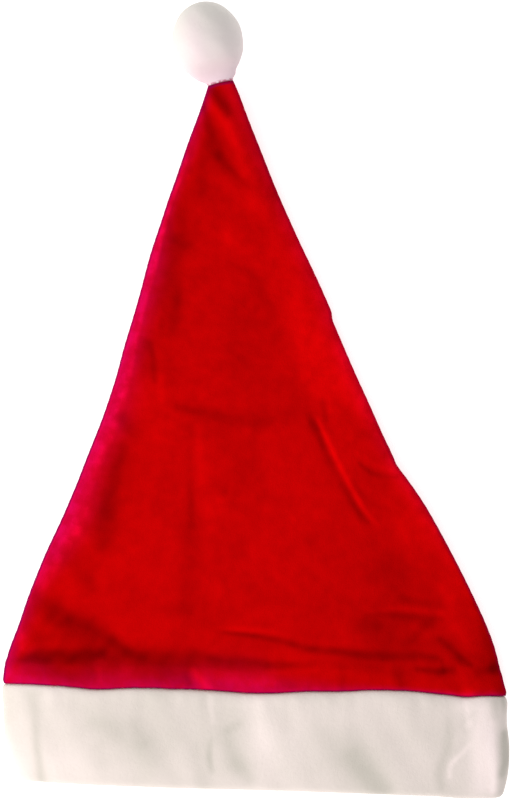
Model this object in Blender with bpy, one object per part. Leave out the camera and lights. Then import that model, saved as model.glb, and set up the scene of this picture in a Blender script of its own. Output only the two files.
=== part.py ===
"""Santa hat lying flat: a red felt crown, a folded white fleece band round its opening and a
white pompom on its tip.

+X runs across the hat, +Y from the band to the tip, and the hat rests on z = 0. Sizes are in
metres. The tables hold shares of these named sizes, a row for each section or fold.
"""

import math
from collections import namedtuple

import bpy
from mathutils import Vector

# Crown, measured on the outside of its cloth
CROWN_WIDTH = 0.288
CROWN_HEIGHT = 0.349
CROWN_DEPTH = 0.021
CLOTH = 0.0016
FOLD_HEIGHT = 0.0040
SEAM_WAVE = 0.0014

# Band, a fleece strip folded double, and its hem turned up inside the crown
BAND_HEIGHT = 0.057
BAND_WALL = 0.0060
BAND_PROUD = 0.0020
BAND_SLANT = 0.025
HEM_REACH = 0.012
HEM_WALL = 0.0022

# Pompom, and how the tip leads into it
POMPOM_LENGTH = 0.0475
POMPOM_WIDTH = 0.0406
POMPOM_DEPTH = 0.0375
POMPOM_LEAN = 0.0020
LOCK_HEIGHT = 0.0010
TIP_LIFT = 0.008
TIP_TURN = math.radians(14)

# Room between pieces that touch
GAP = 0.0003

# How finely the surfaces are divided
TOP_STEPS = 34
UNDER_STEPS = 14
CROWN_RINGS = 32
POMPOM_SIDES = 36
POMPOM_RINGS = 18
LOCKS_ROUND = 9
LOCK_ROWS = 6

# Sections of the crown. up is a share of CROWN_HEIGHT, left and right of CROWN_WIDTH, depth of
# CROWN_DEPTH and edge, where the sides turn under, of the section's own depth. roundness runs from
# 0, flat underneath, to 1, an ellipse. on_band and to_tip are shares of BAND_PROUD and TIP_LIFT,
# by which the band's fleece and the pompom hold the cloth off the ground.
CrownRow = namedtuple("CrownRow", "up left right depth edge roundness on_band to_tip")
CROWN_ROWS = (
    CrownRow(0.00, -0.501, 0.502, 1.00, 0.20, 0.00, 1.00, 0.00),
    CrownRow(0.05, -0.493, 0.489, 0.98, 0.20, 0.00, 0.65, 0.00),
    CrownRow(0.10, -0.475, 0.466, 0.96, 0.20, 0.00, 0.25, 0.00),
    CrownRow(0.20, -0.433, 0.407, 0.91, 0.20, 0.00, 0.00, 0.00),
    CrownRow(0.30, -0.380, 0.339, 0.86, 0.21, 0.02, 0.00, 0.00),
    CrownRow(0.40, -0.334, 0.258, 0.81, 0.22, 0.05, 0.00, 0.00),
    CrownRow(0.50, -0.295, 0.200, 0.75, 0.24, 0.10, 0.00, 0.00),
    CrownRow(0.60, -0.263, 0.144, 0.70, 0.27, 0.20, 0.00, 0.00),
    CrownRow(0.70, -0.232, 0.091, 0.65, 0.31, 0.35, 0.00, 0.02),
    CrownRow(0.80, -0.197, 0.033, 0.60, 0.37, 0.55, 0.00, 0.12),
    CrownRow(0.90, -0.159, -0.024, 0.55, 0.44, 0.80, 0.00, 0.45),
    CrownRow(1.00, -0.123, -0.072, 0.48, 0.50, 1.00, 0.00, 1.00),
)

# The band, along the line that the crown's cloth would follow. down is a share of BAND_HEIGHT,
# left and right of CROWN_WIDTH, and depth of CROWN_DEPTH.
BandRow = namedtuple("BandRow", "down left right depth")
BAND_ROWS = (
    BandRow(0.00, -0.500, 0.500, 1.00),
    BandRow(0.25, -0.494, 0.498, 1.03),
    BandRow(0.50, -0.491, 0.504, 1.04),
    BandRow(0.75, -0.486, 0.504, 1.02),
    BandRow(1.00, -0.477, 0.496, 0.97),
)

# Folds of the upper cloth: each starts and ends at shares of CROWN_WIDTH and CROWN_HEIGHT. reach is
# a share of CROWN_WIDTH, and height, below 0 for a valley, of FOLD_HEIGHT.
Fold = namedtuple("Fold", "across up across_end up_end reach height")
FOLDS = (
    Fold(-0.106, 0.960, -0.054, 0.841, 0.018, -0.35),
    Fold(-0.098, 0.930, -0.030, 0.810, 0.014, 0.30),
    Fold(-0.179, 0.797, -0.191, 0.590, 0.028, -0.30),
    Fold(-0.220, 0.557, -0.262, 0.424, 0.030, -0.35),
    Fold(-0.280, 0.382, -0.308, 0.250, 0.030, -0.40),
    Fold(-0.179, 0.467, 0.048, 0.427, 0.028, -0.45),
    Fold(-0.128, 0.435, -0.135, 0.187, 0.020, -0.45),
    Fold(0.122, 0.470, 0.232, 0.282, 0.022, 0.60),
    Fold(0.080, 0.440, 0.190, 0.262, 0.024, -0.50),
    Fold(0.200, 0.380, 0.276, 0.362, 0.018, 0.35),
    Fold(0.283, 0.150, 0.371, 0.133, 0.022, 0.40),
    Fold(-0.414, 0.148, -0.267, 0.085, 0.024, 0.45),
    Fold(-0.440, 0.078, -0.030, 0.072, 0.024, -0.60),
    Fold(-0.030, 0.088, 0.420, 0.070, 0.024, -0.55),
    Fold(-0.026, 0.577, -0.020, 0.560, 0.110, -0.40),
    Fold(0.090, 0.580, 0.140, 0.500, 0.060, 0.35),
)

# The seam's wave. across is a share of CROWN_WIDTH, and rise of SEAM_WAVE.
WaveRow = namedtuple("WaveRow", "across rise")
WAVE_ROWS = (
    WaveRow(-0.50, 0.0),
    WaveRow(-0.30, -1.0),
    WaveRow(0.00, -0.8),
    WaveRow(0.13, 0.0),
    WaveRow(0.26, 1.0),
    WaveRow(0.36, 0.2),
    WaveRow(0.43, -0.6),
    WaveRow(0.50, 0.0),
)

# The pompom from its neck to its widest ring. along is a share of POMPOM_LENGTH and radius of half
# of POMPOM_WIDTH. centred runs from 0, at the tip's height, to 1, at the ball's own.
PompomRow = namedtuple("PompomRow", "along radius centred")
POMPOM_ROWS = (
    PompomRow(0.00, 0.42, 0.00),
    PompomRow(0.10, 0.57, 0.20),
    PompomRow(0.20, 0.76, 0.45),
    PompomRow(0.31, 0.91, 0.75),
    PompomRow(0.42, 0.98, 0.95),
    PompomRow(0.52, 1.00, 1.00),
)


def smooth_row(rows, place):
    """The table's row at a place in its first column, on smooth curves through its rows."""
    last = len(rows) - 1
    low = max(i for i in range(last) if rows[i][0] <= max(place, rows[0][0]))
    span = rows[low + 1][0] - rows[low][0]
    t = min(max((place - rows[low][0]) / span, 0.0), 1.0)

    def slope(i, column):
        before, after = rows[max(i - 1, 0)], rows[min(i + 1, last)]
        return (after[column] - before[column]) / (after[0] - before[0])

    values = [
        (2 * t**3 - 3 * t**2 + 1) * rows[low][column]
        + (3 * t**2 - 2 * t**3) * rows[low + 1][column]
        + (t**3 - 2 * t**2 + t) * span * slope(low, column)
        + (t**3 - t**2) * span * slope(low + 1, column)
        for column in range(len(rows[0]))
    ]
    return type(rows[0])(*values)


def ease(value, start, end):
    """0 before start, 1 after end, and a smooth rise between them."""
    t = min(max((value - start) / (end - start), 0.0), 1.0)
    return t * t * (3 - 2 * t)


Section = namedtuple("Section", "left right low high edge roundness")


def crown_section(up):
    """The crown's outer section at a share of its height."""
    row = smooth_row(CROWN_ROWS, up)
    low = BAND_PROUD * max(row.on_band, 0.0) + TIP_LIFT * max(row.to_tip, 0.0)
    return Section(
        row.left * CROWN_WIDTH,
        row.right * CROWN_WIDTH,
        low,
        low + row.depth * CROWN_DEPTH,
        row.edge,
        row.roundness,
    )


def band_section(down):
    """The line that the crown's cloth would follow if it ran on down through the band."""
    row = smooth_row(BAND_ROWS, down)
    seam = CROWN_ROWS[0]
    return Section(
        row.left * CROWN_WIDTH,
        row.right * CROWN_WIDTH,
        BAND_PROUD,
        BAND_PROUD + row.depth * CROWN_DEPTH,
        seam.edge,
        seam.roundness,
    )


def arch(share, roundness):
    """Height of the upper cloth, 0 at the edges and 1 in the middle of the section."""
    return (1 - abs(share) ** (2.9 - 0.9 * roundness)) ** (0.43 + 0.07 * roundness)


def keel(share, roundness):
    """Depth of the lower cloth, which is flat over its middle where it rests."""
    return min(1.0, 1.01 * (1 - abs(share) ** (8 - 6 * roundness)) ** 0.5)


def ring_shares():
    """Places round a section: its share across, from -1 to 1, and whether it is on top."""
    top = [(-math.cos(math.pi * i / TOP_STEPS), True) for i in range(TOP_STEPS)]
    under = [(math.cos(math.pi * i / UNDER_STEPS), False) for i in range(UNDER_STEPS)]
    return top + under


def ring(section, out):
    """Points (x, z, on top, height share) round a section that is moved out by a distance."""
    middle = (section.left + section.right) / 2
    half = (section.right - section.left) / 2 + out
    low, high = section.low - out, section.high + out
    side = section.low + section.edge * (section.high - section.low)
    points = []
    for share, on_top in ring_shares():
        x = middle + half * share
        if on_top:
            rise = arch(share, section.roundness)
            points.append((x, side + (high - side) * rise, rise))
        else:
            points.append((x, side - (side - low) * keel(share, section.roundness), 0.0))
    return points


def fold_rise(x, up):
    """Height of the folds of the upper cloth, summed over ridges and valleys.

    Each is a bell-shaped profile carried along a straight line from its start to its end.
    """
    point = Vector((x, up * CROWN_HEIGHT))
    total = 0.0
    for fold in FOLDS:
        start = Vector((fold.across * CROWN_WIDTH, fold.up * CROWN_HEIGHT))
        end = Vector((fold.across_end * CROWN_WIDTH, fold.up_end * CROWN_HEIGHT))
        line = end - start
        t = min(max((point - start).dot(line) / line.length_squared, 0.0), 1.0)
        distance = (point - start - t * line).length / (fold.reach * CROWN_WIDTH)
        total += fold.height * math.exp(-distance * distance)
    return total * FOLD_HEIGHT


def seam_rise(x):
    """How far the seam between crown and band waves up or down at a place across the hat."""
    return SEAM_WAVE * smooth_row(WAVE_ROWS, min(max(x / CROWN_WIDTH, -0.5), 0.5)).rise


def material(name, colour, roughness):
    """A plain Principled finish."""
    made = bpy.data.materials.new(name)
    made.use_nodes = True
    shader = made.node_tree.nodes["Principled BSDF"]
    shader.inputs["Base Color"].default_value = (*colour, 1.0)
    shader.inputs["Roughness"].default_value = roughness
    shader.inputs["Metallic"].default_value = 0.0
    return made


def middle_of(points):
    """The mean of some points."""
    return sum((Vector(p) for p in points), Vector()) / len(points)


def loft(rings, start_point=None, end_point=None, loop_back=False):
    """Vertices and faces of a skin through rings of equal length.

    A point given for an end closes it with a fan, and loop_back joins the last ring to the first.
    """
    count, last = len(rings[0]), len(rings) - 1
    points = [point for one in rings for point in one]
    faces = []
    for i in range(len(rings) if loop_back else last):
        j = (i + 1) % len(rings)
        for k in range(count):
            m = (k + 1) % count
            faces.append((i * count + k, i * count + m, j * count + m, j * count + k))
    if start_point is not None:
        points.append(start_point)
        faces += [(len(points) - 1, (k + 1) % count, k) for k in range(count)]
    if end_point is not None:
        points.append(end_point)
        first = last * count
        faces += [(len(points) - 1, first + k, first + (k + 1) % count) for k in range(count)]
    return points, faces


def solid(name, points, faces, finish, parent):
    """An object with its own mesh, smooth except at sharp bends."""
    mesh = bpy.data.meshes.new(name)
    mesh.from_pydata([tuple(p) for p in points], [], faces)
    mesh.materials.append(finish)
    mesh.shade_smooth()
    mesh.set_sharp_from_angle(angle=math.radians(50))
    made = bpy.data.objects.new(name, mesh)
    made.parent = parent
    bpy.context.scene.collection.objects.link(made)
    return made


def near_seam(up):
    """How much of the seam's wave the cloth still follows at a share of the crown's height."""
    return 1 - ease(up, 0.0, 0.2)


def crown_rings(out, end):
    """Rings of one face of the crown's cloth, from the seam to a share of its height."""
    hem = HEM_REACH / CROWN_HEIGHT
    rings = []
    for i in range(CROWN_RINGS + 1):
        up = end * i / CROWN_RINGS
        section = crown_section(up)
        middle = (section.left + section.right) / 2
        folded = ease(up, hem, 2 * hem) * (1 - ease(up, 0.92, 1.0))
        slant = math.tan(TIP_TURN) * ease(up, 0.8, 1.0)
        points = []
        for x, z, rise in ring(section, out):
            y = up * CROWN_HEIGHT + seam_rise(x) * near_seam(up) + slant * (x - middle)
            points.append((x, y, z + fold_rise(x, up) * folded * rise))
        rings.append(points)
    return rings


def add_crown(finish, parent):
    """The red cone: its cloth's inner face from the tip down, then its outer face back up."""
    inner = crown_rings(-CLOTH, 1 - CLOTH / CROWN_HEIGHT)[::-1]
    outer = crown_rings(0.0, 1.0)
    skin = loft(inner + outer, middle_of(inner[0]), middle_of(outer[-1]))
    return solid("crown", *skin, finish, parent)


def band_rings():
    """Rings of the band's profile: the hem inside the crown, the inner face, the outer face."""
    inside_crown = -(CLOTH + GAP)
    hem_inner = inside_crown - HEM_WALL
    inner = BAND_PROUD - BAND_WALL
    rings = []
    for out in (inside_crown, hem_inner):
        up = HEM_REACH / CROWN_HEIGHT
        rings.append(
            [
                (x, HEM_REACH + seam_rise(x) * near_seam(up), z)
                for x, z, _ in ring(crown_section(up), out)
            ]
        )
    profile = (
        (hem_inner, 0.05),
        (inner, 0.20),
        (inner, 0.52),
        (inner, 0.85),
        (inner + 0.12 * BAND_WALL, 0.95),
        (BAND_PROUD - 0.50 * BAND_WALL, 1.00),
        (BAND_PROUD - 0.12 * BAND_WALL, 0.95),
        (BAND_PROUD, 0.85),
        (BAND_PROUD, 0.62),
        (BAND_PROUD, 0.38),
        (BAND_PROUD, 0.15),
        (0.80 * BAND_PROUD, 0.05),
        (0.10 * BAND_PROUD, 0.00),
        (inside_crown, 0.00),
    )
    for out, down in profile:
        points = []
        for x, z, _ in ring(band_section(down), out):
            drop = down * BAND_HEIGHT * (1 + BAND_SLANT * 2 * x / CROWN_WIDTH)
            points.append((x, seam_rise(x) - GAP - drop, z))
        rings.append(points)
    return rings


def add_band(finish, parent):
    """The white cuff, one closed profile carried round the opening."""
    return solid("band", *loft(band_rings(), loop_back=True), finish, parent)


def pompom_shape(along):
    """Radius and centring at a share of the length: the table, then an ellipse to the top."""
    widest = POMPOM_ROWS[-1].along
    if along <= widest:
        row = smooth_row(POMPOM_ROWS, along)
        return row.radius, row.centred
    past = (along - widest) / (1 - widest)
    return math.sqrt(1 - past * past), 1.0


def lock_rise(along, angle):
    """Height of the fibre's locks: rounded tufts in rows, each row set between the last one's."""
    row = math.floor(along * LOCK_ROWS)
    across = abs(math.cos((LOCKS_ROUND * angle + math.pi * row) / 2))
    lengthwise = math.sin(math.pi * (along * LOCK_ROWS - row))
    shown = ease(along, 0.05, 0.30) * (1 - ease(along, 0.85, 1.00))
    return LOCK_HEIGHT * shown * (across * lengthwise - 0.5)


def add_pompom(finish, parent):
    """The white ball: rings along its own axis, flattened where it rests, with its neck at the tip."""
    tip = crown_section(1.0)
    tip_half = (tip.right - tip.left) / 2 / math.cos(TIP_TURN)
    tip_middle = Vector(((tip.left + tip.right) / 2, CROWN_HEIGHT, 0))
    tip_height = (tip.low + tip.high) / 2
    ahead = Vector((-math.sin(TIP_TURN), math.cos(TIP_TURN), 0))
    aside = Vector((math.cos(TIP_TURN), math.sin(TIP_TURN), 0))
    radius = POMPOM_WIDTH / 2
    centre_height = POMPOM_DEPTH - radius
    rings = []
    for i in range(POMPOM_RINGS):
        along = (1 - math.cos(math.pi * i / POMPOM_RINGS)) / 2
        share, centred = pompom_shape(along)
        at_neck = 1 - ease(along, 0.0, 0.08)
        wide = radius * share * (1 - at_neck) + tip_half * at_neck
        flattened = 1 - ease(along, 0.0, 0.25)
        tall = radius * share * (1 - flattened) + (tip.high - tip.low) / 2 * flattened
        height = centre_height * centred + tip_height * (1 - centred)
        points = []
        for k in range(POMPOM_SIDES):
            angle = math.pi - 2 * math.pi * k / POMPOM_SIDES
            grow = lock_rise(along, angle)
            point = tip_middle + ahead * (GAP + along * POMPOM_LENGTH)
            point += aside * ((wide + grow) * math.cos(angle) - POMPOM_LEAN * ease(along, 0.0, 0.15))
            point.z = max(0.0, height + (tall + grow) * math.sin(angle))
            points.append(point)
        rings.append(points)
    top = tip_middle + ahead * (GAP + POMPOM_LENGTH) - aside * POMPOM_LEAN
    top.z = centre_height
    return solid("pompom", *loft(rings, middle_of(rings[0]), top), finish, parent)


def rest_on_origin(hat, pieces):
    """Move the hat's parent so that the middle of its underside is at the world's origin."""
    corners = [vertex.co for piece in pieces for vertex in piece.data.vertices]
    for axis in (0, 1):
        places = [corner[axis] for corner in corners]
        hat.location[axis] = -(min(places) + max(places)) / 2
    hat.location.z = -min(corner.z for corner in corners)


def build():
    """Clear the scene and make the hat."""
    for old in list(bpy.data.objects):
        bpy.data.objects.remove(old, do_unlink=True)
    red_felt = material("red_felt", (0.51, 0.004, 0.008), 0.9)
    white_fleece = material("white_fleece", (0.80, 0.75, 0.69), 0.95)
    white_fibre = material("white_fibre", (0.84, 0.80, 0.76), 0.95)
    hat = bpy.data.objects.new("hat", None)
    bpy.context.scene.collection.objects.link(hat)
    pieces = [
        add_crown(red_felt, hat),
        add_band(white_fleece, hat),
        add_pompom(white_fibre, hat),
    ]
    rest_on_origin(hat, pieces)


build()
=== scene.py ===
# %% [markdown]
# # A santa hat, lying flat
#
# The hat is three soft things sewn together: a cone of brushed red felt, a cuff of white fleece
# folded double, and a ball of white fibre on the tip. It lies on a pale table and is seen from
# straight above, so nearly all that tells cloth from card is in small things: the roll of the
# cloth at its edges, the shallow folds where it was packed, the puckers along a seam, and a nap
# that glows where it turns away from the eye.
#
# The frame below holds the hat's plain solids at their real size. Each one is replaced here by a
# finer surface of the same form.

# %% Load the frame
import math

import bpy
import numpy as np
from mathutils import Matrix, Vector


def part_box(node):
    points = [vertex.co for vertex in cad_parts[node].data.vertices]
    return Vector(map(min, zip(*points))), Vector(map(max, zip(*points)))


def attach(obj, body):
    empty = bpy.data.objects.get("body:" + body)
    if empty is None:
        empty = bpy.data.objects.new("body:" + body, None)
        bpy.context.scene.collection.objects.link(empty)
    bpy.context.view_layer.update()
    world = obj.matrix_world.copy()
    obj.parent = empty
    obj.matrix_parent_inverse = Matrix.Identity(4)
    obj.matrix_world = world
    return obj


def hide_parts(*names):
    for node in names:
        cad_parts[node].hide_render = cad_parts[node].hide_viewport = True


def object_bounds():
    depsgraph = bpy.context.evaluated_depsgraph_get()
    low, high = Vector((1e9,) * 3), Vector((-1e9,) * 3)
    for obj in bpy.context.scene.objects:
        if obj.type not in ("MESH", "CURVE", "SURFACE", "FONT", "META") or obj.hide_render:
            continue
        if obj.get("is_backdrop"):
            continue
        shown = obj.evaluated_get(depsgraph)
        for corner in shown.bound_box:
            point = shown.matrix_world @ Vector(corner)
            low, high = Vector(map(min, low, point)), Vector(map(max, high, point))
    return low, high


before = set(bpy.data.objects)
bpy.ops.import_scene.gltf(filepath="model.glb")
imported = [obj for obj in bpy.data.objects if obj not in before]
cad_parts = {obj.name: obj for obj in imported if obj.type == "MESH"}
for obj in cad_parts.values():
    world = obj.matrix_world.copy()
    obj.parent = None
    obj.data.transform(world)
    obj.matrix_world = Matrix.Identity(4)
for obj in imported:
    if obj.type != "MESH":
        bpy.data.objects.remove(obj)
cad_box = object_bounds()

crown_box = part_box("crown")
band_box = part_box("band")
pompom_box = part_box("pompom")
print("nodes:", sorted(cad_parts))
for name, box in (("crown", crown_box), ("band", band_box), ("pompom", pompom_box)):
    print(name, "box:", [[round(c, 4) for c in corner] for corner in box])

# %% [markdown]
# ## Where the hat's own axes lie
#
# A hat is cut from a few measurements: how wide the crown is at the seam, how tall it is, how
# deep it lies, and how high the cuff is. All later shapes are shares of these, so they are
# stated once. The middle of the seam is the place from which the cutter measures, and it is
# found here from the frame's box, because the frame is centred on its outline instead.

# %% The hat's measurements
CROWN_WIDTH = 0.288
CROWN_HEIGHT = 0.349
CROWN_DEPTH = 0.021
CLOTH = 0.0016
BAND_HEIGHT = 0.057
BAND_WALL = 0.0060
BAND_PROUD = 0.0020
BAND_SLANT = 0.025
HEM_REACH = 0.012
HEM_WALL = 0.0022
FLEECE = 0.0023
SEAM_WAVE = 0.0014
POMPOM_LENGTH = 0.0475
POMPOM_WIDTH = 0.0406
POMPOM_DEPTH = 0.0375
POMPOM_LEAN = 0.0020
TIP_LIFT = 0.008
TIP_TURN = math.radians(14)
GAP = 0.0003
MM = 0.001

SEAM_LEFT = -0.501
seam_x = crown_box[0][0] - SEAM_LEFT * CROWN_WIDTH
seam_y = crown_box[0][1] + SEAM_WAVE
print("seam's middle at", round(seam_x, 4), round(seam_y, 4))

# %% [markdown]
# ## The camera
#
# The photograph looks straight down on a table, with the hat turned a little clockwise in the
# picture. A long lens from far above keeps the near and far cloth at one scale. The camera stands
# over the point that the picture's middle shows. That point is measured in pixels from the
# seam's middle, turned into the hat's own axes and multiplied by the size of a pixel.

# %% Camera
PICTURE_WIDTH, PICTURE_HEIGHT = 512, 800
METRES_PER_PIXEL = CROWN_WIDTH / 500
SEAM_PIXEL = (254.5, 690.0)
HAT_TURN = math.radians(1.4)
LENS, SENSOR = 100.0, 36.0
FOCUS_HEIGHT = 0.016


def picture_to_table(pixel_x, pixel_y):
    """A point of the picture as (x, y) on the table: shift to the seam, turn, scale."""
    right = pixel_x - SEAM_PIXEL[0]
    up = SEAM_PIXEL[1] - pixel_y
    x = right * math.cos(HAT_TURN) - up * math.sin(HAT_TURN)
    y = right * math.sin(HAT_TURN) + up * math.cos(HAT_TURN)
    return seam_x + x * METRES_PER_PIXEL, seam_y + y * METRES_PER_PIXEL


def add_camera():
    """A camera that looks down -Z and is rolled so that the hat leans as in the picture."""
    data = bpy.data.cameras.new("camera")
    data.lens = LENS
    data.sensor_fit = "VERTICAL"
    data.sensor_height = SENSOR
    camera = bpy.data.objects.new("camera", data)
    x, y = picture_to_table(PICTURE_WIDTH / 2, PICTURE_HEIGHT / 2)
    distance = PICTURE_HEIGHT * METRES_PER_PIXEL * LENS / SENSOR
    camera.location = (x, y, FOCUS_HEIGHT + distance)
    camera.rotation_euler = (0, 0, HAT_TURN)
    bpy.context.scene.collection.objects.link(camera)
    bpy.context.scene.camera = camera
    return camera


camera = add_camera()
print("camera at", [round(c, 3) for c in camera.location])

# %% [markdown]
# ## Table and light
#
# A white thing on a white table needs a soft but directed light. One broad lamp stands low at the
# lower left, which models every fold, and the sky fills the shadows from all sides. The table
# glows a little, as a light table in a photographer's studio does, so the shadows stay faint.

# %% Table and lamps
KEY_PLACE, KEY_SIZE, KEY_POWER = (-1.35, -0.75, 1.10), 0.9, 26.0
SKY_STRENGTH = 0.68
TABLE_GLOW = 0.55


def add_table(size=6.0):
    """One large square at the height where the hat rests."""
    half = size / 2
    mesh = bpy.data.meshes.new("table")
    corners = [(-half, -half, 0), (half, -half, 0), (half, half, 0), (-half, half, 0)]
    mesh.from_pydata(corners, [], [(0, 1, 2, 3)])
    table = bpy.data.objects.new("table", mesh)
    bpy.context.scene.collection.objects.link(table)
    table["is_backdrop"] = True
    return table


def add_lamp(name, place, size, power, colour):
    """A square area lamp that faces the origin: its own -Z axis points from its place to there."""
    data = bpy.data.lights.new(name, "AREA")
    data.shape = "SQUARE"
    data.size = size
    data.energy = power
    data.color = colour
    lamp = bpy.data.objects.new(name, data)
    x, y, z = place
    lamp.location = place
    lamp.rotation_euler = (0, math.atan2(math.hypot(x, y), z), math.atan2(y, x))
    bpy.context.scene.collection.objects.link(lamp)
    return lamp


def add_sky(strength):
    """An even white sky."""
    world = bpy.data.worlds.new("sky")
    world.use_nodes = True
    background = world.node_tree.nodes["Background"]
    background.inputs["Color"].default_value = (0.98, 0.99, 1.0, 1.0)
    background.inputs["Strength"].default_value = strength
    bpy.context.scene.world = world


table = add_table()
key_lamp = add_lamp("key_lamp", KEY_PLACE, KEY_SIZE, KEY_POWER, (1.0, 0.985, 0.96))
add_sky(SKY_STRENGTH)
bpy.context.scene.view_settings.view_transform = "Standard"
print("key lamp at", [round(c, 3) for c in key_lamp.location])

# %% [markdown]
# ## Tables read as smooth curves
#
# A maker draws a hat from a handful of stations: so wide here, so deep there. The tables that
# follow do the same, and one function reads them as smooth curves. Between two rows it uses the
# cubic that has each row's value and the slope from its neighbours, worked out for a whole array
# of places at once.

# %% Reading a table
def read_rows(rows, places):
    """Columns of a table at many places, by cubic curves whose slopes join the rows' neighbours."""
    rows = np.array(rows, dtype=float)
    last = len(rows) - 1
    index = np.arange(last + 1)
    before = rows[np.maximum(index - 1, 0)]
    after = rows[np.minimum(index + 1, last)]
    slope = (after - before) / (after[:, :1] - before[:, :1])
    low = np.clip(np.searchsorted(rows[:, 0], places, side="right") - 1, 0, last - 1)
    span = rows[low + 1, 0] - rows[low, 0]
    t = np.clip((places - rows[low, 0]) / span, 0, 1)[..., None]
    span = span[..., None]
    values = (
        (2 * t**3 - 3 * t**2 + 1) * rows[low]
        + (3 * t**2 - 2 * t**3) * rows[low + 1]
        + (t**3 - 2 * t**2 + t) * span * slope[low]
        + (t**3 - t**2) * span * slope[low + 1]
    )
    return np.moveaxis(values, -1, 0)[1:]


def ease(value, start, end):
    """0 before start, 1 after end, and a smooth rise between."""
    t = np.clip((value - start) / (end - start), 0, 1)
    return t * t * (3 - 2 * t)


def ripple(x, y, seed, wavelengths, height):
    """Soft unevenness: sine waves of mixed length and direction, added and scaled."""
    chance = np.random.default_rng(seed)
    total = np.zeros(np.broadcast(x, y).shape)
    for length in wavelengths:
        turn, phase = chance.uniform(0, 2 * np.pi, 2)
        total += np.sin((x * np.cos(turn) + y * np.sin(turn)) * 2 * np.pi / length + phase)
    return total * height / math.sqrt(len(wavelengths))


# %% [markdown]
# ## The crown's sections
#
# Laid down, the cone is a flattened tube: flat where it rests, gently arched on top, and rolled at
# both sides because cloth this thick can't be creased sharp. A section across it is two curves,
# an upper and a lower one, that meet at the side rolls. The rows give, from the seam up, the left
# and right outline and the depth, as shares of the measurements, then where the sides turn under,
# how round the section is, and how far the band or the pompom holds it up.
#
# The edge of a real hat is never as clean as a drawn one. A second table says how far the outline
# strays outwards from the first, which it hardly does in the notch where a fold meets the right
# side, and fine waves make the edge between seam and tip a little uneven.

# %% The crown's table
CROWN_ROWS = (
    # up, left, right, depth, edge, roundness, on band, to tip
    (0.00, -0.501, 0.502, 1.00, 0.20, 0.00, 1.00, 0.00),
    (0.05, -0.493, 0.489, 0.98, 0.20, 0.00, 0.65, 0.00),
    (0.10, -0.475, 0.466, 0.96, 0.20, 0.00, 0.25, 0.00),
    (0.20, -0.433, 0.407, 0.91, 0.20, 0.00, 0.00, 0.00),
    (0.30, -0.380, 0.339, 0.86, 0.21, 0.02, 0.00, 0.00),
    (0.40, -0.334, 0.258, 0.81, 0.22, 0.05, 0.00, 0.00),
    (0.50, -0.295, 0.200, 0.75, 0.24, 0.10, 0.00, 0.00),
    (0.60, -0.263, 0.144, 0.70, 0.27, 0.20, 0.00, 0.00),
    (0.70, -0.232, 0.091, 0.65, 0.31, 0.35, 0.00, 0.02),
    (0.80, -0.197, 0.033, 0.60, 0.37, 0.55, 0.00, 0.12),
    (0.90, -0.159, -0.024, 0.55, 0.44, 0.80, 0.00, 0.45),
    (1.00, -0.123, -0.072, 0.48, 0.50, 1.00, 0.00, 1.00),
)

EDGE_WAVES = (0.026, 0.014, 0.0083, 0.0051)
EDGE_UNEVEN = 0.00012
STRAY_ROWS = (
    # height in mm, left and right outwards in mm
    (0, 1.6, 1.8),
    (12, 1.6, 0.6),
    (30, 0.6, 1.5),
    (45, 0.7, 1.8),
    (80, 0.7, 1.4),
    (98, 1.1, 1.3),
    (115, 1.3, 1.0),
    (125, 1.6, 0.6),
    (131, 1.6, 0.1),
    (136, 1.5, 1.0),
    (142, 1.4, 1.5),
    (167, 1.0, 1.3),
    (193, 1.4, 1.0),
    (212, 1.2, 1.0),
    (215, 1.1, 1.1),
    (219, 1.0, 2.3),
    (228, 0.9, 2.1),
    (245, 1.4, 1.3),
    (262, 1.3, 0.7),
    (288, 1.1, 0.9),
    (305, 1.5, 0.9),
    (322, 1.5, 0.6),
    (339, 0.4, 0.4),
    (349, 0.0, 0.0),
)


def crown_section(up):
    """Left, right, low, high, edge and roundness of the crown's outer section at shares up it."""
    left, right, depth, edge, roundness, on_band, to_tip = read_rows(CROWN_ROWS, up)
    low = BAND_PROUD * np.maximum(on_band, 0) + TIP_LIFT * np.maximum(to_tip, 0)
    high = low + depth * CROWN_DEPTH
    loose = ease(up, 0.0, 0.05) * (1 - ease(up, 0.95, 1.0))
    height = up * CROWN_HEIGHT
    stray_left, stray_right = read_rows(STRAY_ROWS, height / MM) * MM
    left = left * CROWN_WIDTH - stray_left + ripple(height, 0.0, 71, EDGE_WAVES, EDGE_UNEVEN) * loose
    right = right * CROWN_WIDTH + stray_right + ripple(height, 0.0, 72, EDGE_WAVES, EDGE_UNEVEN) * loose
    return left, right, low, high, edge, roundness


def ring_shares(top_steps, under_steps):
    """Places round a section, left edge over the top to the right edge and back underneath.

    On top an even share u becomes u times (1 + k - k u^12), which crowds the places into the side
    rolls only. Underneath, where nothing happens, they follow the cosine of an even angle.
    """
    even = 2 * np.arange(top_steps) / top_steps - 1
    crowding = 0.08
    top = even * (1 + crowding - crowding * even**12)
    under = np.cos(np.pi * np.arange(under_steps) / under_steps)
    on_top = np.arange(top_steps + under_steps) < top_steps
    return np.concatenate([top, under]), on_top


ROLL = 0.0028
ROLL_SHARE = 0.45


def lens_share(up):
    """How far the section has gone from the full arch at the band to the flatter lens."""
    return ease(up, 0.0, 0.22) * (1 - ease(up, 0.78, 0.95))


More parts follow.
